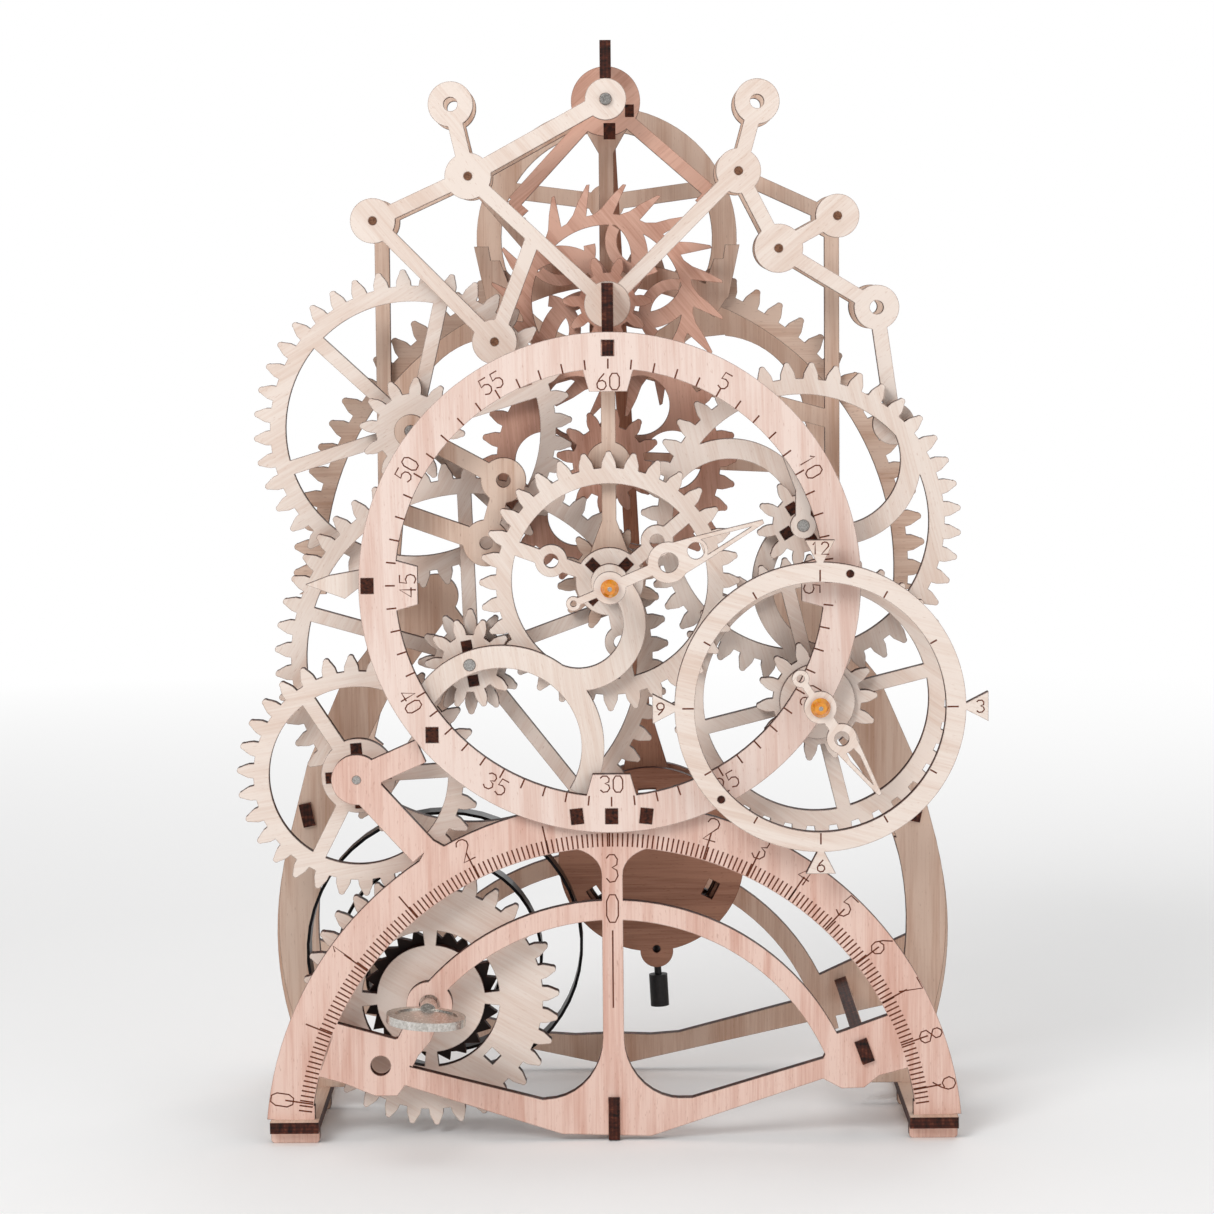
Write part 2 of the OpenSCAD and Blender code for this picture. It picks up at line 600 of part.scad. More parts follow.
module motion_wheel() color(wood) {
    sheet(y_motion) difference() {
        translate(at_motion) {
            difference() { gear2d(z_motion, a_motion); circle(z_motion * gear_m / 2 - tooth_foot * gear_m - rim_w, $fn = 96); }
            intersection() { swirl(3, 0); circle(z_motion * gear_m / 2 - tooth_foot * gear_m, $fn = 64); }
            circle(7, $fn = 40);
        }
        dot(at_motion, arbor_r + pin_c, 24);
    }
    sheet(y_second) difference() {
        translate(at_motion) difference() { gear2d(z_motion_b, a_motion_b); cross_slots(3.2, 2.8, 3, 32); }
        dot(at_motion, arbor_r + pin_c, 24);
    }
}
module motion_arbor() color(steel) spin(at_motion, arbor_r, y_plate - 0.2, y_middle + ply_t);
module hour_wheel() color(wood) {
    sheet(y_second) difference() {
        translate(at_hour) wheel2d(z_hour, a_hour, 4, 14, 10);
        dot(at_hour, arbor_r + pin_c, 24);
    }
    sheet(y_minute, 3) difference() { translate(at_hour) gear2d(14, 5); dot(at_hour, arbor_r + pin_c, 24); }
    sheet(y_minute - 1.6, 1.6) difference() { dot(at_hour, 10); dot(at_hour, arbor_r + pin_c, 24); }
}
module hour_arbor() color(steel) spin(at_hour, arbor_r, y_ring - 0.6, y_middle + ply_t);
module fourth_wheel() color(wood) {
    sheet(y_third) difference() { translate(at_fourth) gear2d(z_fourth_a, a_fourth_a); dot(at_fourth, arbor_r + pin_c, 24); }
    sheet(y_fourth) difference() { translate(at_fourth) wheel2d(z_fourth, a_fourth, 6, 17, 8); dot(at_fourth, arbor_r + pin_c, 24); }
}
module fourth_arbor() color(steel) spin(at_fourth, arbor_r, y_second, y_middle + ply_t);
module fifth_wheel() color(wood_dark) {
    sheet(y_fourth) difference() { translate(at_fifth) gear2d(z_fifth_a, a_fifth_a); dot(at_fifth, arbor_r + pin_c, 24); }
    sheet(y_fifth) difference() {
        translate(at_fifth) difference() {
            gear2d(z_fifth, a_fifth);
            for (k = [0 : 5]) rotate(60 * k) dot([17.2, 0], 8, 48);
        }
        dot(at_fifth, arbor_r + pin_c, 24);
    }
}
module fifth_arbor() color(steel) spin(at_fifth, arbor_r, y_second, y_middle + ply_t);
escape_r = 31.6;
escape_root = 23.4;
module escape2d() {
    difference() {
        polygon([for (k = [0 : z_escape - 1]) let (c = k * 360 / z_escape + 9) each [
            polar(escape_root, c + 4.5), polar(escape_root + 2.4, c + 2.6), polar(escape_r, c - 0.8), polar(escape_r, c + 0.8),
            polar(escape_root + 4.4, c + 7), polar(escape_root + 1.4, c + 12.5), polar(escape_root, c + 18.5)]]);
        circle(escape_root - 3, $fn = 96);
    }
    for (k = [0 : 4]) rotate(72 * k) intersection() {
        union() { band([-12.5, 0], 15, 4.6, -10, 130, 64); band([9, 16], 9.5, 3.2, 150, 300, 48); }
        circle(escape_root - 1, $fn = 64);
    }
    circle(6, $fn = 40);
}
module escape_wheel() color(wood) {
    sheet(y_escape) difference() { translate(at_escape) escape2d(); dot(at_escape, arbor_r + pin_c, 24); }
    sheet(y_fifth) difference() { translate(at_escape) gear2d(z_escape_a, a_escape_a); dot(at_escape, arbor_r + pin_c, 24); }
}
module escape_arbor() color(steel) spin(at_escape, arbor_r, y_fifth - 1, y_middle + ply_t);

// ---- anchor and pendulum, drawn swung to the right by rest_swing ----
module swung() translate([at_anchor[0], 0, at_anchor[1]]) rotate([0, -rest_swing, 0]) translate([-at_anchor[0], 0, -at_anchor[1]]) children();
module anchor2d() difference() {
    translate(at_anchor) {
        circle(9.3, $fn = 48);
        for (s = [0, 1]) mirror([s, 0]) {
            bar([0, 0], [-26.2, -25.4], 3.8);
            // hooked pallet at the end of the arm
            outline([[-27.9, -25.2], [-24.6, -30.6], [-21.4, -29], [-24.4, -26.1], [-24.8, -22.6]]);
        }
    }
    for (a = [-swing, 0, swing]) translate(at_anchor) rotate(a) translate(at_escape - at_anchor) circle(escape_r + 0.6, $fn = 96);
    dot(at_anchor, arbor_r + pin_c, 24);
}
module anchor() color(wood) swung() sheet(y_escape) anchor2d();
module anchor_arbor() color(steel) spin(at_anchor, arbor_r, y_third - 1, y_back + ply_t + 1);
bob_r = 26;
slide_w = 5.6;
bob_at = [0, at_anchor[1] - pendulum_l];
module pendulum_rod() color(wood_dark) swung() sheet(y_swing) difference() {
    union() {
        dot(at_anchor, 6);
        bar(at_anchor, bob_at + [0, bob_r - 6], 4.2);
        outline([[-2.1, bob_at[1] + bob_r + 16], [-7, bob_at[1] + bob_r - 4], [7, bob_at[1] + bob_r - 4],
            [2.1, bob_at[1] + bob_r + 16]]);
        dot(bob_at, bob_r - 1.2, 96);
    }
    dot(at_anchor, arbor_r + pin_c, 24);
    dot(bob_at, bob_r - 7, 64);
    translate(bob_at + [-slide_w / 2, -bob_r - 1]) square([slide_w, 12]);
}
// Drum of sheets with an open rim and a tongue under it
module pendulum_bob() color(wood_dark) swung() {
    for (y = [y_swing - 2 * ply_t, y_swing + 2 * ply_t]) sheet(y) difference() {
        union() { dot(bob_at, bob_r, 96); translate(bob_at + [-4.6, -bob_r]) square([9.2, 5]); dot(bob_at + [0, -bob_r], 4.6, 40); }
        for (a = [-30, 90, 210]) translate(bob_at) rotate(a) translate([18.6, 0]) square([3.4, 5], center = true);
        dot(bob_at + [0, -bob_r + 0.6], 1.1, 24);
    }
    for (y = [y_swing - ply_t, y_swing + ply_t]) sheet(y) difference() {
        ring(bob_at, bob_r - 1.2, 5.4, 96);
        translate(bob_at + [-slide_w / 2, -bob_r - 1]) square([slide_w, 12]);
    }
}
module bob_adjuster() color([0.1, 0.1, 0.1]) swung() translate([0, y_swing + ply_t / 2, bob_at[1] - bob_r]) {
    // knurled grip, screw and the nut held in the slot of the bob
    translate([0, 0, -17]) cylinder(r = 2.6, h = 9, $fn = 32);
    translate([0, 0, -8]) cylinder(r = 1, h = 11.4, $fn = 24);
    translate([-slide_w / 2, -1.5 * ply_t, 2]) cube([slide_w, 3 * ply_t, 3]);
}

// ---- which sub-part is drawn ----
front_plate();
dial_ring();
dial_pegs();
hour_ring();
ring_pins();
scroll_bridge();
motion_bridge();
side_pointer();
inner_bridge();
left_stars();
right_stars();
middle_frame();
toothed_arch();
back_plate();
foot_rails();
keel();
ridge_spine();
cross_pillars();
dial_strut();
star_spacers();
main_spring();
spring_pin();
barrel_wheel();
ratchet_wheel();
winding_arbor();
winding_key();
second_wheel();
second_pin();
third_pinions();
third_wheel();
third_arbor();
minute_wheel();
minute_hub();
minute_arbor();
minute_hand();
minute_bead();
motion_wheel();
motion_arbor();
hour_wheel();
hour_arbor();
hour_hand();
hour_bead();
fourth_wheel();
fourth_arbor();
fifth_wheel();
fifth_arbor();
escape_wheel();
escape_arbor();
anchor();
anchor_arbor();
pendulum_rod();
pendulum_bob();
bob_adjuster();
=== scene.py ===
import json
import math

import bpy
from mathutils import Matrix, Vector


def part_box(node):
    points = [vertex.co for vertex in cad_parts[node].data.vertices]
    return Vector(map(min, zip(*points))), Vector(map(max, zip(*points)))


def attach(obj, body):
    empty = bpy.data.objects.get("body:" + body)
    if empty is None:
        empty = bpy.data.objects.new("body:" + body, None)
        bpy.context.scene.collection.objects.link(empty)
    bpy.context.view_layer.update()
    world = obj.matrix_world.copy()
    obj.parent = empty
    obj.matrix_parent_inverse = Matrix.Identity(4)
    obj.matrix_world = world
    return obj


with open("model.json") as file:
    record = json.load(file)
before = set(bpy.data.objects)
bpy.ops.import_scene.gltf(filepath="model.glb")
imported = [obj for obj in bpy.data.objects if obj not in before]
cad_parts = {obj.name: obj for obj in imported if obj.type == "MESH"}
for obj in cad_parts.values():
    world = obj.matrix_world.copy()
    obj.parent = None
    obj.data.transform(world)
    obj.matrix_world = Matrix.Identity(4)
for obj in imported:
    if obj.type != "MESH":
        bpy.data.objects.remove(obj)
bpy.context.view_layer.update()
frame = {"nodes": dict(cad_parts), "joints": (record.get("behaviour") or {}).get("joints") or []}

mm = 0.001
joints = {joint["name"]: Vector(joint["pos_m"]) for joint in frame["joints"]}


# Small helpers

def toLinear(hexColour):
    parts = [int(hexColour[i:i + 2], 16) / 255 for i in (1, 3, 5)]
    return [p / 12.92 if p <= 0.04045 else ((p + 0.055) / 1.055) ** 2.4 for p in parts] + [1.0]


def addNode(tree, kind, settings=None, links=None):
    node = tree.nodes.new(kind)
    for key, value in (settings or {}).items():
        if key == "stops":
            for i, (place, colour) in enumerate(value):
                stop = node.color_ramp.elements[i] if i < 2 else node.color_ramp.elements.new(place)
                stop.position = place
                stop.color = toLinear(colour)
        elif isinstance(key, int) or key in node.inputs:
            node.inputs[key].default_value = value
        else:
            setattr(node, key, value)
    for key, socket in (links or {}).items():
        tree.links.new(socket, node.inputs[key])
    return node


def newMaterial(name):
    material = bpy.data.materials.new(name)
    material.use_nodes = True
    material.node_tree.nodes.clear()
    return material, material.node_tree


def deselectAll():
    bpy.ops.object.select_all(action="DESELECT")


def frontCentre(node):
    low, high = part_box(node)
    return Vector(((low[0] + high[0]) / 2, low[1], (low[2] + high[2]) / 2))


def polar(centre, radius, angle):
    turn = math.radians(angle)
    return Vector((centre.x + radius * math.cos(turn), centre.y, centre.z + radius * math.sin(turn)))


def bevelledBlock(size, rounding, segments, centre=(0, 0, 0)):
    deselectAll()
    bpy.ops.mesh.primitive_cube_add(size=1, location=centre, scale=size)
    block = bpy.context.active_object
    bpy.ops.object.transform_apply(location=True, rotation=True, scale=True)
    bevel = block.modifiers.new("rounding", "BEVEL")
    bevel.width = rounding
    bevel.segments = segments
    bpy.ops.object.modifier_apply(modifier=bevel.name)
    return block


def setDown(piece, material, body):
    piece.data.materials.clear()
    piece.data.materials.append(material)
    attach(piece, body)
    return piece


# Laser-cut birch plywood. Faces: sanded, unvarnished, fine straight grain with short dark
# flecks. Cut edges: charred red-brown to black, the three plies just showing. A thin scorched
# line runs round each outline on the face.
plyLooks = {
    "cream": {"face": "#F3E4D9", "grain": "#E6CFC0", "fleck": "#CDAA95"},
    "pink": {"face": "#F0D0C2", "grain": "#DCAE9D", "fleck": "#B9806A"},
    "blush": {"face": "#F3DDD2", "grain": "#E4C3B5", "fleck": "#C49580"},
    # rose: the pink wood darkened as painted shade, for the escapement pieces that sit deeper in the clock
    "rosePaintedShade": {"face": "#E0B39F", "grain": "#C48F7A", "fleck": "#9A6450"},
    # tan: the cream wood darkened as painted shade, for the frame pieces, rails, struts and hub that sit
    # deeper in the clock
    "tan": {"face": "#E2C8B6", "grain": "#CBA791", "fleck": "#9F7660"},
    # soot: near black, charred wood with painted shade, for the ratchet wheel seen in shadow through the
    # barrel's slots
    "sootAndPaintedShade": {"face": "#2A1B16", "grain": "#1B100C", "fleck": "#0D0705"},
    # brown: the wood darkened a long way as painted shade, for the pendulum rod and bob that hang in shadow
    # behind the wheels
    "brownPaintedShade": {"face": "#AC7F69", "grain": "#8A5F4C", "fleck": "#5E3829"},
}
plySizes = {
    "streak": (1.9, 1.9, 0.06),  # grain streaks 0.5 mm across and 16 mm long, cycles for each mm
    "figure": (0.16, 0.16, 0.014),  # slow bands 6 mm across
    "flecks": (3.2, 3.2, 0.55),  # pores 0.3 mm across and 2 mm long
    "char": (0.9, 0.35, 0.9),  # soot patches 1 mm along the cut
    "burr": (2.4, 0.3, 2.4),  # laser striations across the sheet
    "scorch": 0.42,  # width of the scorched line on the face, mm
}
plyBurns = {
    "line": "#5E3424",  # scorched line on the face
    "edge": [(0.38, "#150805"), (0.66, "#4A2014"), (0.86, "#7A4630")],  # from soot to bare brown
}
# How an upright sheet, a strip along the middle plane and a flat rail are turned to lie alike
sheetTurns = {"front": (0, 0, 0), "side": (90, 0, 90), "flat": (90, 0, 0)}


def plywood(name, look, lies, grainTurn, shift):
    material, tree = newMaterial(name)
    colours = plyLooks[look]
    turn = [math.radians(a) for a in sheetTurns[lies]]
    if lies == "front":
        turn[1] = math.radians(grainTurn)
    coord = addNode(tree, "ShaderNodeTexCoord")
    inMm = addNode(tree, "ShaderNodeMapping", {"Rotation": turn, "Scale": (1000, 1000, 1000),
                                               "Location": (shift, 0, shift * 3)},
                   {"Vector": coord.outputs["Object"]})

    def noise(size, detail, rough, bend=0.0):
        stretched = addNode(tree, "ShaderNodeMapping", {"Scale": plySizes[size]},
                            {"Vector": inMm.outputs["Vector"]})
        return addNode(tree, "ShaderNodeTexNoise",
                       {"Scale": 1.0, "Detail": detail, "Roughness": rough, "Distortion": bend},
                       {"Vector": stretched.outputs["Vector"]}).outputs["Fac"]

    streak = noise("streak", 4, 0.62)
    figure = noise("figure", 2, 0.5, 0.8)
    flecks = noise("flecks", 2, 0.5)
    both = addNode(tree, "ShaderNodeMix", {"Factor": 0.42}, {2: figure, 3: streak})
    faceColour = addNode(tree, "ShaderNodeValToRGB",
                         {"stops": [(0.36, colours["grain"]), (0.56, colours["face"])]},
                         {"Fac": both.outputs["Result"]})
    fleckMask = addNode(tree, "ShaderNodeMapRange", {"From Min": 0.64, "From Max": 0.74, "To Max": 0.45},
                        {"Value": flecks})
    flecked = addNode(tree, "ShaderNodeMix", {"data_type": "RGBA", 7: toLinear(colours["fleck"])},
                      {0: fleckMask.outputs["Result"], 6: faceColour.outputs["Color"]})

    # scorched line: where the rounded-off normal leaves the face's own
    geometry = addNode(tree, "ShaderNodeNewGeometry")
    rounded = addNode(tree, "ShaderNodeBevel", {"samples": 4, "Radius": plySizes["scorch"] * mm})
    leaning = addNode(tree, "ShaderNodeVectorMath", {"operation": "DOT_PRODUCT"},
                      {0: rounded.outputs["Normal"], 1: geometry.outputs["True Normal"]})
    scorchMask = addNode(tree, "ShaderNodeMapRange",
                         {"From Min": 0.99, "From Max": 0.75, "To Max": 0.95},
                         {"Value": leaning.outputs["Value"]})
    scorched = addNode(tree, "ShaderNodeMix", {"data_type": "RGBA", 7: toLinear(plyBurns["line"])},
                       {0: scorchMask.outputs["Result"], 6: flecked.outputs[2]})

    # cut edge: where the surface doesn't look along the sheet's thickness
    normalTurned = addNode(tree, "ShaderNodeMapping", {"vector_type": "VECTOR", "Rotation": turn},
                           {"Vector": geometry.outputs["True Normal"]})
    normalParts = addNode(tree, "ShaderNodeSeparateXYZ", links={"Vector": normalTurned.outputs["Vector"]})
    through = addNode(tree, "ShaderNodeMath", {"operation": "ABSOLUTE"}, {0: normalParts.outputs["Y"]})
    edgeMask = addNode(tree, "ShaderNodeMath", {"operation": "LESS_THAN", 1: 0.5},
                       {0: through.outputs["Value"]})
    placeParts = addNode(tree, "ShaderNodeSeparateXYZ", links={"Vector": inMm.outputs["Vector"]})
    plies = addNode(tree, "ShaderNodeMath", {"operation": "PINGPONG", 1: 0.5},
                    {0: placeParts.outputs["Y"]})
    sootAndPaintedShade = noise("char", 3, 0.6)
    sootPlies = addNode(tree, "ShaderNodeMath", {"operation": "MULTIPLY_ADD", 1: 0.28},
                        {0: plies.outputs["Value"], 2: sootAndPaintedShade})
    edgeColour = addNode(tree, "ShaderNodeValToRGB", {"stops": plyBurns["edge"]},
                         {"Fac": sootPlies.outputs["Value"]})
    colour = addNode(tree, "ShaderNodeMix", {"data_type": "RGBA"},
                     {0: edgeMask.outputs["Value"], 6: scorched.outputs[2],
                      7: edgeColour.outputs["Color"]})

    roughness = addNode(tree, "ShaderNodeMapRange", {"To Min": 0.5, "To Max": 0.74}, {"Value": streak})
    height = addNode(tree, "ShaderNodeMix", {},
                     {0: edgeMask.outputs["Value"], 2: streak, 3: noise("burr", 2, 0.6)})
    bump = addNode(tree, "ShaderNodeBump", {"Strength": 0.35, "Distance": 0.00012},
                   {"Height": height.outputs["Result"]})
    shader = addNode(tree, "ShaderNodeBsdfPrincipled", {"IOR": 1.45, "Specular IOR Level": 0.32},
                     {"Base Color": colour.outputs[2], "Roughness": roughness.outputs["Result"],
                      "Normal": bump.outputs["Normal"]})
    addNode(tree, "ShaderNodeOutputMaterial", links={"Surface": shader.outputs["BSDF"]})
    return material


def speckled(name, dark, light, grain, roughness, settings, bumpMm=0.02):
    # A finish of one colour with fine speckle: grain is the size of a speck in mm
    material, tree = newMaterial(name)
    coord = addNode(tree, "ShaderNodeTexCoord")
    inMm = addNode(tree, "ShaderNodeMapping", {"Scale": [1000 / g for g in grain]},
                   {"Vector": coord.outputs["Object"]})
    specks = addNode(tree, "ShaderNodeTexNoise", {"Scale": 1.0, "Detail": 3.0, "Roughness": 0.6},
                     {"Vector": inMm.outputs["Vector"]})
    colour = addNode(tree, "ShaderNodeValToRGB", {"stops": [(0.36, dark), (0.66, light)]},
                     {"Fac": specks.outputs["Fac"]})
    gloss = addNode(tree, "ShaderNodeMapRange", {"To Min": roughness[0], "To Max": roughness[1]},
                    {"Value": specks.outputs["Fac"]})
    bump = addNode(tree, "ShaderNodeBump", {"Strength": 0.3, "Distance": bumpMm * mm},
                   {"Height": specks.outputs["Fac"]})
    shader = addNode(tree, "ShaderNodeBsdfPrincipled", settings,
                     {"Base Color": colour.outputs["Color"], "Roughness": gloss.outputs["Result"],
                      "Normal": bump.outputs["Normal"]})
    addNode(tree, "ShaderNodeOutputMaterial", links={"Surface": shader.outputs["BSDF"]})
    return material


# Drawn steel wire, fine lines along its length
drawnSteel = speckled("drawnSteel", "#8E8A86", "#D5D2CE", (0.3, 8, 0.3), (0.24, 0.42),
                      {"Metallic": 1.0})
# Blued and oiled spring strip, almost black
springSteel = speckled("springSteel", "#0C0B0C", "#242224", (4, 0.5, 4), (0.32, 0.5),
                       {"Metallic": 0.9})
# Zinc casting, tumbled and polished, a little pitted
castZinc = speckled("castZinc", "#B9B4AD", "#E4E0DB", (0.7, 0.7, 0.7), (0.16, 0.34), {"Metallic": 1.0})
# Burnt end grain of a tenon: dark, dull, the plies as faint squares
charredEnd = speckled("charredEnd", "#170906", "#5A2C1C", (1.1, 2, 0.8), (0.6, 0.85),
                      {"Specular IOR Level": 0.25}, 0.15)
# Turned dowel, brown end grain
dowelWood = speckled("dowelWood", "#5B3A28", "#8D6248", (0.4, 5, 0.4), (0.5, 0.7),
                     {"Specular IOR Level": 0.3})
# Line engraved by the laser: scorched brown bottom
engravedLine = speckled("engravedLine", "#55281A", "#7E452F", (0.6, 1, 0.6), (0.6, 0.8),
                        {"Specular IOR Level": 0.2})
# Clear amber plastic, polished
amberPlastic = speckled("amberPlastic", "#D97B06", "#F0A01C", (2, 2, 2), (0.06, 0.14),
                        {"IOR": 1.49, "Coat Weight": 0.6, "Coat Roughness": 0.05,
                         "Subsurface Weight": 0.25, "Subsurface Scale": 0.002})
# Moulded black rubber sleeve
blackRubber = speckled("blackRubber", "#08080A", "#1B1B1E", (0.5, 0.5, 0.5), (0.4, 0.6),
                       {"IOR": 1.5}, 0.04)

# Which plywood each node is cut from: look, how it lies, grain turn from upright in degrees
# Nodes given the tan look are darkened with painted shade, as pieces that sit deeper in the clock
cutFrom = {
    "front_plate": ("pink", "front", 0), "dial_ring": ("blush", "front", 2),
    "hour_ring": ("cream", "front", 75),
    "scroll_bridge": ("cream", "front", 10), "motion_bridge": ("cream", "front", 0),
    "side_pointer": ("cream", "front", 0), "inner_bridge": ("tan", "front", 0),
    "left_stars": ("cream", "front", 40), "right_stars": ("cream", "front", 130),
    "middle_frame": ("tan", "front", 0), "toothed_arch": ("tan", "front", 90),
    "back_plate": ("tan", "front", 0), "foot_rails": ("tan", "flat", 0), "keel": ("tan", "side", 0),
    "ridge_spine": ("tan", "side", 0), "dial_strut": ("tan", "side", 0),
    "cross_pillars": ("tan", "side", 0), "barrel_wheel": ("cream", "front", 60),
    # The ratchet wheel's near-black look is charring with painted shade on top
    "ratchet_wheel": ("sootAndPaintedShade", "front", 20), "second_wheel": ("cream", "front", 100),
    "third_pinions": ("cream", "front", 20), "third_wheel": ("cream", "front", 150),
    "minute_wheel": ("cream", "front", 35), "minute_hub": ("tan", "front", 80),
    "minute_hand": ("cream", "front", 70), "motion_wheel": ("cream", "front", 15),
    "hour_wheel": ("cream", "front", 55), "hour_hand": ("cream", "front", 145),
    # The rose look on the fifth wheel, escape wheel and anchor is painted shade
    "fourth_wheel": ("cream", "front", 120), "fifth_wheel": ("rosePaintedShade", "front", 5),
    "escape_wheel": ("rosePaintedShade", "front", 40), "anchor": ("rosePaintedShade", "front", 130),
    # The brown look on the pendulum rod and bob is painted shade
    "pendulum_rod": ("brownPaintedShade", "front", 0), "pendulum_bob": ("brownPaintedShade", "front", 90),
}
otherFinishes = {
    "dial_pegs": charredEnd, "ring_pins": charredEnd, "star_spacers": dowelWood,
    "main_spring": springSteel, "winding_key": castZinc, "minute_bead": amberPlastic,
    "hour_bead": amberPlastic, "bob_adjuster": blackRubber,
}
sheetStep = 7.3  # mm from one node's stretch of grain to the next's
for number, (node, (look, lies, grainTurn)) in enumerate(cutFrom.items()):
    cut = plywood("ply_" + node, look, lies, grainTurn, sheetStep * number)
    for slot in frame["nodes"][node].material_slots:
        slot.material = cut
for node, piece in frame["nodes"].items():
    if node not in cutFrom:
        for slot in piece.material_slots:
            slot.material = otherFinishes.get(node, drawnSteel)
print("materials done")


# Lines and figures engraved by the laser
engraving = {
    "stroke": 0.42 * mm,  # width of a line
    "proud": 0.03 * mm,  # how far it stands off the face, so that it shows
    "rounding": 0.8,  # share of that height taken off its edges
    "gap": 1.5,  # between two figures, in the grid's units
    "dialTick": 2.6 * mm, "hourTick": 2.0 * mm, "archTick": 3.6 * mm,
}
# Each figure as strokes on a small grid
figureWide = 4
figureHigh = 6
figures = {
    "0": [[(1, 0), (3, 0), (4, 1.4), (4, 4.6), (3, 6), (1, 6), (0, 4.6), (0, 1.4), (1, 0)]],
    "1": [[(1, 4.6), (2.2, 6), (2.2, 0)]],
    "2": [[(0, 4.6), (0.5, 5.6), (1.6, 6), (2.8, 5.8), (3.7, 4.9), (3.6, 3.8), (0, 0), (4, 0)]],
    "3": [[(0, 5.2), (1, 6), (2.8, 6), (3.8, 5), (3.6, 3.8), (2, 3.2), (3.6, 2.6), (4, 1.4), (3, 0.2),
           (1.2, 0), (0, 0.9)]],
    "4": [[(3, 0), (3, 6), (0, 1.8), (4, 1.8)]],
    "5": [[(3.8, 6), (0.6, 6), (0.3, 3.4), (2, 3.8), (3.5, 3.2), (4, 2), (3.4, 0.6), (2, 0),
           (0.2, 0.6)]],
    "6": [[(3.2, 6), (1.2, 4), (0.1, 2.2), (0.3, 0.8), (1.6, 0), (3, 0.2), (4, 1.4), (3.6, 2.8),
           (2.4, 3.5), (0.9, 3.1)]],
    "7": [[(0, 6), (4, 6), (1.4, 0)]],
    "8": [[(2, 3.2), (0.6, 4), (0.6, 5.2), (1.6, 6), (2.6, 6), (3.5, 5.2), (3.5, 4), (2, 3.2), (0.2, 2.2),
           (0.2, 0.8), (1.4, 0), (2.8, 0), (3.9, 0.8), (3.9, 2.2), (2, 3.2)]],
    "9": [[(0.8, 0), (2.8, 2), (3.9, 3.8), (3.7, 5.2), (2.4, 6), (1, 5.8), (0, 4.6), (0.4, 3.2),
           (1.6, 2.5), (3.1, 2.9)]],
}


def joined(parts, name):
    deselectAll()
    for part in parts:
        part.select_set(True)
    bpy.context.view_layer.objects.active = parts[0]
    if len(parts) > 1:
        bpy.ops.object.join()
    whole = bpy.context.active_object
    whole.name = name
    whole.data.name = name
    return whole


def engravedTick(length):
    # one tick lying along +X from the origin, half of it under the face
    return bevelledBlock((length, 2 * engraving["proud"], engraving["stroke"]),
                         engraving["proud"] * engraving["rounding"], 1, (length / 2, 0, 0))


def ticksRound(name, centre, radius, length, angles):
    master = engravedTick(1.0)
    parts = []
    for angle, stretch in angles:
        part = master.copy()
        part.data = master.data.copy()
        part.data.transform(Matrix.Diagonal((length * stretch, 1, 1, 1)))
        start = polar(centre, radius, angle)
        part.data.transform(Matrix.Translation(start) @ Matrix.Rotation(math.radians(-angle), 4, "Y"))
        bpy.context.collection.objects.link(part)
        parts.append(part)
    bpy.data.objects.remove(master)
    return joined(parts, name)


def figureMesh(text, height, width, place, turn):
    # figures stand upright at turn 0, centred on place, and turn anticlockwise seen from the front
    curve = bpy.data.curves.new("figure", "CURVE")
    curve.dimensions = "3D"
    curve.bevel_depth = engraving["stroke"] / 2
    curve.bevel_resolution = 1
    pitch = figureWide + engraving["gap"]
    span = len(text) * pitch - engraving["gap"]
    for position, sign in enumerate(text):
        for stroke in figures[sign]:
            line = curve.splines.new("POLY")
            line.points.add(len(stroke) - 1)
            for point, (x, z) in zip(line.points, stroke):
                across = (x + position * pitch - span / 2) / figureWide * width
                point.co = (across, 0, (z / figureHigh - 0.5) * height, 1)
    piece = bpy.data.objects.new("figure", curve)
    bpy.context.collection.objects.link(piece)
    deselectAll()
    piece.select_set(True)
    bpy.context.view_layer.objects.active = piece
    bpy.ops.object.convert(target="MESH")
    piece = bpy.context.active_object
    flatten = Matrix.Diagonal((1, 2 * engraving["proud"] / engraving["stroke"], 1, 1))
    spin = Matrix.Rotation(math.radians(-turn), 4, "Y")
    piece.data.transform(Matrix.Translation(place) @ spin @ flatten)
    return piece


# Minute dial: sixty ticks, figures every five minutes, four of them on the tabs
dial = {
    "figure": (4.3 * mm, 2.5 * mm),  # height and width
    "ringRadius": 61.2 * mm, "tabRadius": 53.2 * mm,  # of the figures on the ring and on the tabs
    "ringWide": 9.6 * mm,
    "turnedOver": range(19, 43),  # minutes whose figures are read from below
}
dialLow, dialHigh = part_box("dial_ring")
dialCentre = frontCentre("dial_ring")
dialInner = (dialHigh[0] - dialLow[0]) / 2 - dial["ringWide"]
marks = [ticksRound("dialTicks", dialCentre, dialInner, engraving["dialTick"],
                    [(90 - 6 * minute, 1.0) for minute in range(60)])]
for minute in range(5, 61, 5):
    angle = 90 - 6 * minute
    radius = dial["tabRadius"] if minute % 15 == 0 else dial["ringRadius"]
    lean = 90 if minute in dial["turnedOver"] else -90
    marks.append(figureMesh(str(minute), *dial["figure"], polar(dialCentre, radius, angle), angle + lean))
setDown(joined(marks, "dial_engraving"), engravedLine, "frame")

# Hour ring: twelve ticks and four figures that stand upright on the triangles
hour = {"figure": (3.2 * mm, 2.0 * mm), "radius": 41.9 * mm, "inner": 33.2 * mm, "quarterTick": 1.5}
ringCentre = frontCentre("hour_ring")
marks = [ticksRound("hourTicks", ringCentre, hour["inner"], engraving["hourTick"],
                    [(30 * step, 1.0 if step % 3 else hour["quarterTick"]) for step in range(12)])]
for text, angle in (("12", 90), ("3", 0), ("6", 270), ("9", 180)):
    marks.append(figureMesh(text, *hour["figure"], polar(ringCentre, hour["radius"], angle), 0))
setDown(joined(marks, "hour_engraving"), engravedLine, "frame")

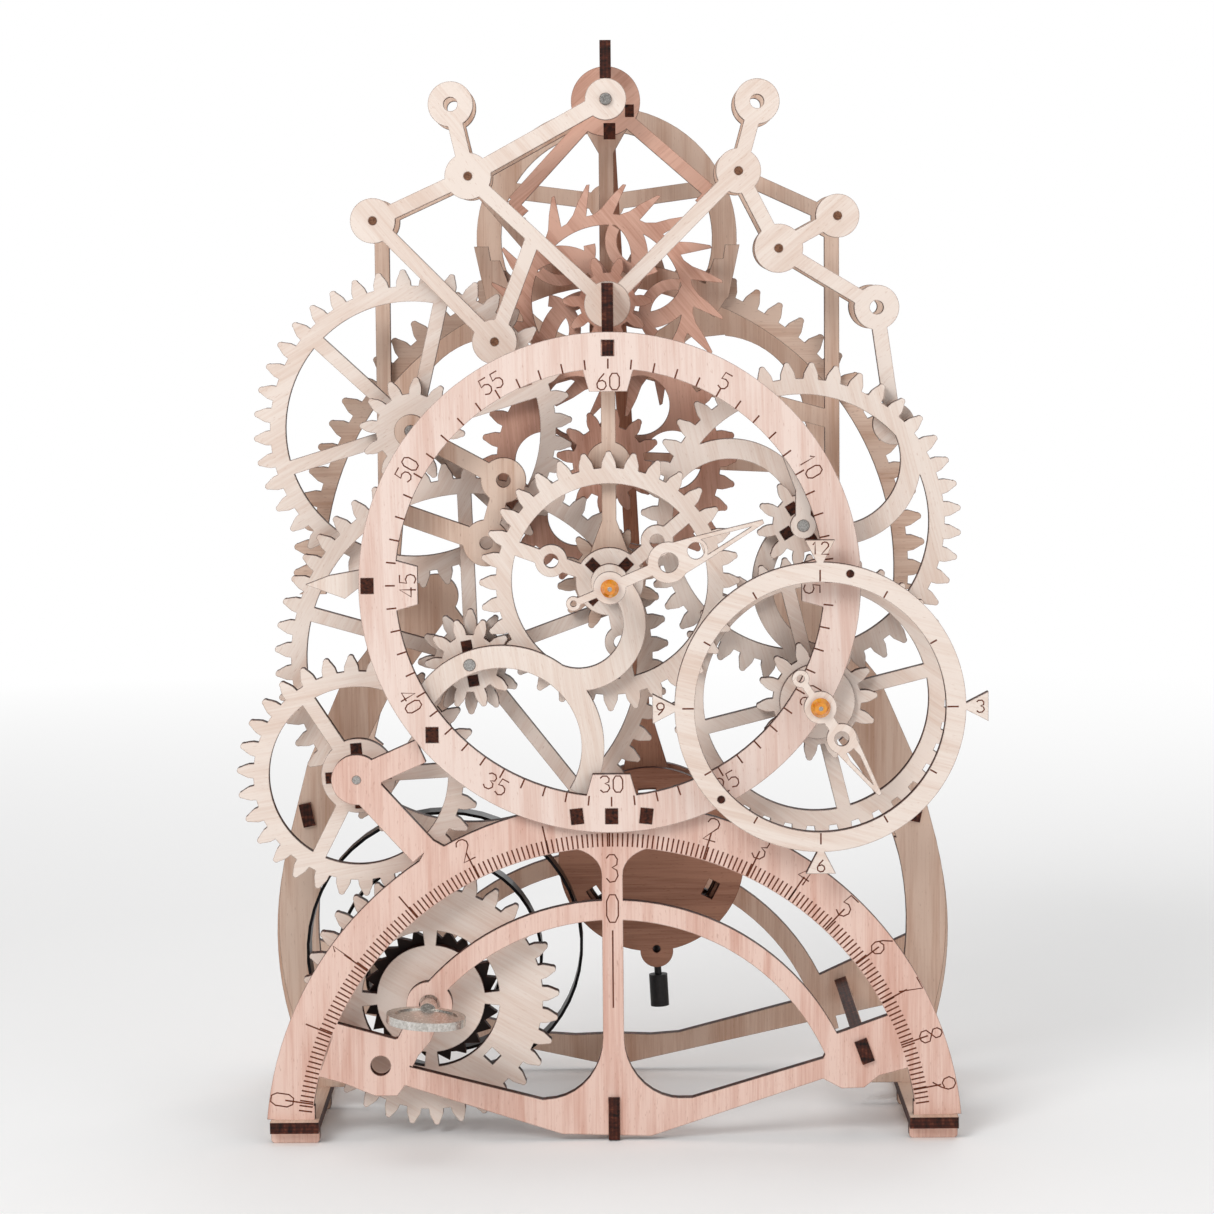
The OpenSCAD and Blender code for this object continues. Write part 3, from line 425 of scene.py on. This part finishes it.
# Front arch: a fine scale round the inner edge with two rows of figures, and the post's figures
# and line. Angles are in degrees from the right.
arch = {
    "centre": Vector((0, 0, -2 * mm)), "inner": 81.6 * mm, "pitch": 0.92, "from": 8, "to": 173,
    "figure": (6.0 * mm, 3.4 * mm), "radius": 90.0 * mm,
    "right": (90.45, -8.87), "left": (171.2, -27.7),  # each row's angle of 0 and step to the next figure
    "lead": 2.1,  # how much longer the ticks at the figures are
    "postFigure": (7.4 * mm, 3.1 * mm), "postFigures": (("3", 73.7 * mm), ("0", 62.9 * mm)),
    "postLine": (57 * mm, 36 * mm),  # heights of its two ends
}
archCentre = arch["centre"] + Vector((0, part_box("front_plate")[0][1], 0))
fine = [(arch["from"] + arch["pitch"] * k, 1.0)
        for k in range(int((arch["to"] - arch["from"]) / arch["pitch"]) + 1)]
leads = [(arch["right"][0] + arch["right"][1] * n, arch["lead"]) for n in (0, *range(2, 10))]
leads += [(arch["left"][0] + arch["left"][1] * n / 2, arch["lead"]) for n in range(6)]
marks = [ticksRound("archTicks", archCentre, arch["inner"], engraving["archTick"], fine + leads)]
for start, pitch, numbers in (arch["right"] + (range(2, 10),), arch["left"] + (range(3),)):
    for n in numbers:
        angle = start + pitch * n
        place = polar(archCentre, arch["radius"], angle)
        marks.append(figureMesh(str(n), *arch["figure"], place, angle - 90))
for text, z in arch["postFigures"]:
    marks.append(figureMesh(text, *arch["postFigure"], Vector((0, archCentre.y, z)), 0))
postTick = engravedTick(arch["postLine"][0] - arch["postLine"][1])
postTick.data.transform(Matrix.Translation(Vector((0, archCentre.y, arch["postLine"][0])))
                        @ Matrix.Rotation(math.radians(90), 4, "Y"))
marks.append(postTick)
setDown(joined(marks, "arch_engraving"), engravedLine, "frame")
print("engraving done")


# Ends of the hub pieces that cross through the wheels. For each body: the node they end in, then
# their distance from the arbor, length and width in mm, and the turn of the first one in degrees.
hubEnds = {
    "third": ("third_pinions", 3.2, 3.0, 2.8, 10),
    "second": ("second_wheel", 5.2, 3.6, 3.0, 4),
    "minute": ("minute_wheel", 4.4, 3.4, 2.8, 45),
    "motion": ("motion_wheel", 3.2, 3.0, 2.8, 32),
}
hubEnd = {"thick": 3 * mm, "ease": 0.99, "worn": 0.12 * mm}
for body, (node, inner, length, width, turn) in hubEnds.items():
    arbor = joints[body + "_turn"]
    centre = Vector((arbor.x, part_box(node)[0][1] + hubEnd["thick"] / 2, arbor.z))
    size = (length * mm * hubEnd["ease"], hubEnd["thick"], width * mm * hubEnd["ease"])
    ends = []
    for angle in range(turn, turn + 360, 90):
        end = bevelledBlock(size, hubEnd["worn"], 2)
        place = polar(centre, (inner + length / 2) * mm, angle)
        end.data.transform(Matrix.Translation(place) @ Matrix.Rotation(math.radians(-angle), 4, "Y"))
        ends.append(end)
    setDown(joined(ends, body + "_hub_ends"), charredEnd, body)

# Two tenon ends that lock the anchor to the rod behind it, on the disc at the top. For each, in
# mm: across and up from the pivot, width and height.
tenons = {"proud": 0.05, "worn": 0.04, "ends": ((6.4, -2.6, 2.4, 3.4), (1.0, -8.0, 3.2, 4.4))}
pivot = joints["pendulum_swing"]
pivotFront = Vector((pivot.x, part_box("anchor")[0][1], pivot.z))
ends = []
for across, up, width, height in tenons["ends"]:
    size = (width * mm, 2 * tenons["proud"] * mm, height * mm)
    end = bevelledBlock(size, tenons["worn"] * mm, 1)
    end.data.transform(Matrix.Translation(pivotFront + Vector((across * mm, 0, up * mm))))
    ends.append(end)
setDown(joined(ends, "anchor_tenon_ends"), charredEnd, "pendulum")
print("hub ends done")


# The steel end of the arbor shows as a bright dot in the middle of each amber bead
beadDot = {"radius": 0.6, "deep": 0.4, "proud": 0.08, "rim": 0.07, "sides": 24}
for node, body in (("minute_bead", "minute"), ("hour_bead", "hour")):
    deselectAll()
    bpy.ops.mesh.primitive_cylinder_add(vertices=beadDot["sides"], radius=beadDot["radius"] * mm,
                                        depth=beadDot["deep"] * mm)
    tip = bpy.context.active_object
    tip.name = node + "_tip"
    rim = tip.modifiers.new("rim", "BEVEL")
    rim.width = beadDot["rim"] * mm
    rim.segments = 2
    bpy.ops.object.modifier_apply(modifier=rim.name)
    centre = frontCentre(node) + Vector((0, (beadDot["deep"] / 2 - beadDot["proud"]) * mm, 0))
    tip.data.transform(Matrix.Translation(centre) @ Matrix.Rotation(math.radians(90), 4, "X"))
    setDown(tip, drawnSteel, body)
print("bead tips done")


# Plain white floor, soft studio light and the camera. Lengths are in metres.
stage = {
    "floor": 3.0, "floorColour": "#FFFFFF",
    "away": 0.920, "eyeHeight": 0.2305,  # the eye in front of the dial ring and above the floor
    "aim": (-0.0008, 0.050, 0.1392), "roll": -0.5, "lens": 104.0, "sensor": 36,
    "lampAim": (0, 0, 0.14),
    "lights": (  # place, size and power in watts
        ("key", (-0.65, -1.05, 0.95), 0.7, 9),
        ("fill", (0.9, -1.0, 0.45), 0.9, 2.5),
        ("top", (0.0, 0.1, 1.3), 0.9, 4),
        ("back", (0.3, 1.2, 0.7), 1.0, 4),
    ),
    "sky": 0.34,
    "fade": (0.35, 1.1),  # distances between which the floor runs out into white
}


def makeStage():
    deselectAll()
    bpy.ops.mesh.primitive_plane_add(size=stage["floor"] * 2)
    floor = bpy.context.active_object
    floor.name = "floor"
    paper, tree = newMaterial("seamlessPaper")
    coord = addNode(tree, "ShaderNodeTexCoord")
    fibres = addNode(tree, "ShaderNodeTexNoise", {"Scale": 900.0, "Detail": 2.0},
                     {"Vector": coord.outputs["Object"]})
    bump = addNode(tree, "ShaderNodeBump", {"Strength": 0.05, "Distance": 0.0001},
                   {"Height": fibres.outputs["Fac"]})
    shader = addNode(tree, "ShaderNodeBsdfPrincipled",
                     {"Base Color": toLinear(stage["floorColour"]), "Roughness": 0.9,
                      "Specular IOR Level": 0.1}, {"Normal": bump.outputs["Normal"]})
    # the paper runs out into plain white away from the clock
    reach = addNode(tree, "ShaderNodeVectorMath", {"operation": "LENGTH"}, {0: coord.outputs["Object"]})
    far = addNode(tree, "ShaderNodeMapRange",
                  {"From Min": stage["fade"][0], "From Max": stage["fade"][1]},
                  {"Value": reach.outputs["Value"]})
    white = addNode(tree, "ShaderNodeEmission", {"Color": (1, 1, 1, 1), "Strength": 1.0})
    both = addNode(tree, "ShaderNodeMixShader",
                   links={0: far.outputs["Result"], 1: shader.outputs["BSDF"], 2: white.outputs["Emission"]})
    addNode(tree, "ShaderNodeOutputMaterial", links={"Surface": both.outputs["Shader"]})
    floor.data.materials.append(paper)

    world = bpy.data.worlds.new("studio")
    world.use_nodes = True
    sky = world.node_tree
    sky.nodes.clear()
    seen = addNode(sky, "ShaderNodeLightPath")
    lit = addNode(sky, "ShaderNodeBackground", {"Color": (1, 1, 1, 1), "Strength": stage["sky"]})
    plain = addNode(sky, "ShaderNodeBackground", {"Color": (1, 1, 1, 1), "Strength": 1.0})
    both = addNode(sky, "ShaderNodeMixShader",
                   links={0: seen.outputs["Is Camera Ray"], 1: lit.outputs["Background"],
                          2: plain.outputs["Background"]})
    addNode(sky, "ShaderNodeOutputWorld", links={"Surface": both.outputs["Shader"]})
    bpy.context.scene.world = world

    for name, place, size, power in stage["lights"]:
        data = bpy.data.lights.new(name, "AREA")
        data.shape = "DISK"
        data.size = size
        data.energy = power
        lamp = bpy.data.objects.new(name, data)
        lamp.location = place
        lamp.rotation_euler = (Vector(stage["lampAim"]) - Vector(place)).to_track_quat("-Z", "Y").to_euler()
        bpy.context.collection.objects.link(lamp)

    view = bpy.data.cameras.new("camera")
    view.lens = stage["lens"]
    view.sensor_width = stage["sensor"]
    camera = bpy.data.objects.new("camera", view)
    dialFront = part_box("dial_ring")[0][1]
    eye = Vector((0, dialFront - stage["away"], stage["eyeHeight"]))
    aim = Vector(stage["aim"]) + Vector((0, dialFront, 0))
    camera.location = eye
    looking = (aim - eye).to_track_quat("-Z", "Y").to_matrix().to_4x4()
    looking = looking @ Matrix.Rotation(math.radians(stage["roll"]), 4, "Z")
    camera.rotation_euler = looking.to_euler()
    bpy.context.collection.objects.link(camera)
    bpy.context.scene.camera = camera
    bpy.context.scene.view_settings.view_transform = "Standard"


makeStage()
print("stage done")
